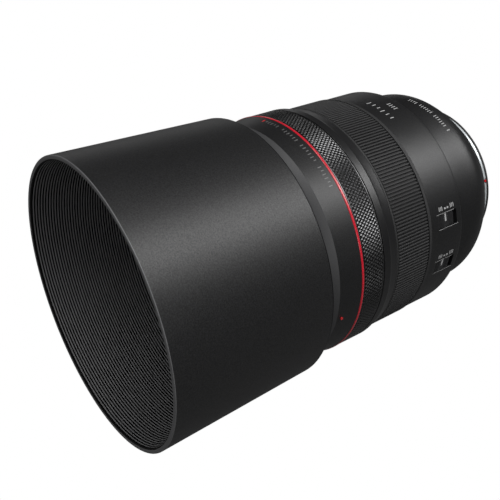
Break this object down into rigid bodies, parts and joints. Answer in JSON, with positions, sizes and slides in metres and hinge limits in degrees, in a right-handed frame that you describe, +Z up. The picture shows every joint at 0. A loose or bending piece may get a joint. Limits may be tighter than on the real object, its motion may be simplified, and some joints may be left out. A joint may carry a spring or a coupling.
{
  "type": "interchangeable camera lens",
  "caption": "Fast telephoto prime camera lens with a bayonet mount, ribbed focus ring, knurled control ring, two slide switches and a long cylindrical hood.",
  "frame": {"origin": "centre of the mount flange's rear face, on the optical axis", "axes": "the optical axis lies along Y with the front of the lens towards -Y and the camera on the +Y side; +Z is up; the slide switches are on +X"},
  "size_m": [0.114, 0.1869, 0.114],
  "materials": {
    "barrel_black": "fine textured matte black paint",
    "hood_black": "fine grained matte charcoal plastic",
    "band_satin": "semi-gloss black paint over aluminium",
    "front_grey": "even satin dark grey",
    "ring_red": "glossy red",
    "knurl_metal": "satin black anodised, diamond knurled",
    "grip_rubber": "matte ribbed rubber",
    "mount_steel": "bright turned stainless steel",
    "screw_steel": "plated steel",
    "index_red": "red enamel",
    "seal_rubber": "soft black rubber",
    "inner_black": "flat anti-reflection black",
    "contact_gold": "gold plated",
    "barrel_alloy": "glass-filled moulding",
    "board_green": "solder mask",
    "coated_glass": "multi-coated optical glass",
    "drive_brass": "machined brass",
    "spring_steel": "spring steel",
    "knob_black": "matte black plastic",
    "blade_black": "blackened thin steel sheet"
  },
  "bodies": {
    "barrel": {"mount_ring": "mount_steel", "mount_screws": "screw_steel", "mount_index_dot": "index_red", "mount_seal": "seal_rubber", "contact_block": "inner_black", "contact_pins": "contact_gold", "rear_baffle": "inner_black", "rear_cover": "barrel_black", "rear_barrel": "barrel_black", "main_barrel": "barrel_alloy", "inner_barrel": "barrel_alloy", "circuit_board": "board_green", "band_ring": "band_satin", "red_ring": "ring_red", "front_barrel": "barrel_black", "hood_index_dot": "index_red", "front_ring": "front_grey", "front_cell": "inner_black", "retaining_ring": "inner_black", "front_element": "coated_glass", "element_02": "coated_glass", "element_03": "coated_glass", "element_04": "coated_glass", "element_05": "coated_glass", "element_06": "coated_glass", "aperture_base": "inner_black", "aperture_cover": "inner_black", "aperture_motor": "screw_steel", "usm_stator": "drive_brass", "wave_spring": "spring_steel", "rear_cell": "inner_black", "element_12": "coated_glass", "rear_element": "coated_glass"},
    "hood": {"hood_shell": "hood_black", "hood_spring": "spring_steel"},
    "hood_button": {"hood_button": "hood_black"},
    "control_ring": {"control_ring": "knurl_metal"},
    "focus_ring": {"focus_ring_core": "barrel_alloy", "focus_grip": "grip_rubber"},
    "mode_switch": {"mode_knob": "knob_black"},
    "limiter_switch": {"limiter_knob": "knob_black"},
    "cam_drive": {"cam_ring": "drive_brass", "usm_rotor": "mount_steel"},
    "focus_group": {"focus_carrier": "inner_black", "focus_rollers": "screw_steel", "element_07": "coated_glass", "element_08": "coated_glass", "element_09": "coated_glass", "element_10": "coated_glass", "element_11": "coated_glass"},
    "aperture_drive": {"aperture_ring": "barrel_alloy"},
    "blade_1": {"blade_1": "blade_black"},
    "blade_2": {"blade_2": "blade_black"},
    "blade_3": {"blade_3": "blade_black"},
    "blade_4": {"blade_4": "blade_black"},
    "blade_5": {"blade_5": "blade_black"},
    "blade_6": {"blade_6": "blade_black"},
    "blade_7": {"blade_7": "blade_black"},
    "blade_8": {"blade_8": "blade_black"},
    "blade_9": {"blade_9": "blade_black"}
  },
  "joints": [
    {"name": "hood_twist", "type": "hinge", "parent": "barrel", "child": "hood", "pos_m": [0, -0.1149, 0], "axis": [0, 1, 0], "range_deg": [0, 60]},
    {"name": "hood_lock_press", "type": "slide", "parent": "hood", "child": "hood_button", "axis": [0, 0, 1], "range_m": [0, 0.0012], "stiffness_N_per_m": 500, "springref_m": -0.001, "deforming": ["hood_spring"]},
    {"name": "control_turn", "type": "hinge", "parent": "barrel", "child": "control_ring", "pos_m": [0, -0.0893, 0], "axis": [0, 1, 0], "continuous": true},
    {"name": "focus_turn", "type": "hinge", "parent": "barrel", "child": "focus_ring", "pos_m": [0, -0.066, 0], "axis": [0, 1, 0], "continuous": true},
    {"name": "mode_slide", "type": "slide", "parent": "barrel", "child": "mode_switch", "axis": [0, 1, 0], "range_m": [0, 0.0017]},
    {"name": "limiter_slide", "type": "slide", "parent": "barrel", "child": "limiter_switch", "axis": [0, 1, 0], "range_m": [0, 0.0017]},
    {"name": "cam_turn", "type": "hinge", "parent": "barrel", "child": "cam_drive", "pos_m": [0, -0.044, 0], "axis": [0, -1, 0], "range_deg": [0, 48]},
    {"name": "focus_travel", "type": "slide", "parent": "barrel", "child": "focus_group", "axis": [0, -1, 0], "range_m": [0, 0.006]},
    {"name": "aperture_turn", "type": "hinge", "parent": "barrel", "child": "aperture_drive", "pos_m": [0, -0.0685, 0], "axis": [0, -1, 0], "range_deg": [0, 30]},
    {"name": "blade_1_pivot", "type": "hinge", "parent": "barrel", "child": "blade_1", "pos_m": [0, -0.0665, 0.0366], "axis": [0, -1, 0], "range_deg": [0, 42]},
    {"name": "blade_2_pivot", "type": "hinge", "parent": "barrel", "child": "blade_2", "pos_m": [0.02353, -0.0665, 0.02804], "axis": [0, -1, 0], "range_deg": [0, 42]},
    {"name": "blade_3_pivot", "type": "hinge", "parent": "barrel", "child": "blade_3", "pos_m": [0.03604, -0.0665, 0.00636], "axis": [0, -1, 0], "range_deg": [0, 42]},
    {"name": "blade_4_pivot", "type": "hinge", "parent": "barrel", "child": "blade_4", "pos_m": [0.0317, -0.0665, -0.0183], "axis": [0, -1, 0], "range_deg": [0, 42]},
    {"name": "blade_5_pivot", "type": "hinge", "parent": "barrel", "child": "blade_5", "pos_m": [0.01252, -0.0665, -0.03439], "axis": [0, -1, 0], "range_deg": [0, 42]},
    {"name": "blade_6_pivot", "type": "hinge", "parent": "barrel", "child": "blade_6", "pos_m": [-0.01252, -0.0665, -0.03439], "axis": [0, -1, 0], "range_deg": [0, 42]},
    {"name": "blade_7_pivot", "type": "hinge", "parent": "barrel", "child": "blade_7", "pos_m": [-0.0317, -0.0665, -0.0183], "axis": [0, -1, 0], "range_deg": [0, 42]},
    {"name": "blade_8_pivot", "type": "hinge", "parent": "barrel", "child": "blade_8", "pos_m": [-0.03604, -0.0665, 0.00636], "axis": [0, -1, 0], "range_deg": [0, 42]},
    {"name": "blade_9_pivot", "type": "hinge", "parent": "barrel", "child": "blade_9", "pos_m": [-0.02353, -0.0665, 0.02804], "axis": [0, -1, 0], "range_deg": [0, 42]}
  ],
  "couplings": [
    {"joint": "focus_travel", "follows": "cam_turn", "m_per_rad": 0.007162},
    {"joint": "blade_1_pivot", "follows": "aperture_turn", "ratio": 1.4},
    {"joint": "blade_2_pivot", "follows": "aperture_turn", "ratio": 1.4},
    {"joint": "blade_3_pivot", "follows": "aperture_turn", "ratio": 1.4},
    {"joint": "blade_4_pivot", "follows": "aperture_turn", "ratio": 1.4},
    {"joint": "blade_5_pivot", "follows": "aperture_turn", "ratio": 1.4},
    {"joint": "blade_6_pivot", "follows": "aperture_turn", "ratio": 1.4},
    {"joint": "blade_7_pivot", "follows": "aperture_turn", "ratio": 1.4},
    {"joint": "blade_8_pivot", "follows": "aperture_turn", "ratio": 1.4},
    {"joint": "blade_9_pivot", "follows": "aperture_turn", "ratio": 1.4}
  ]
}
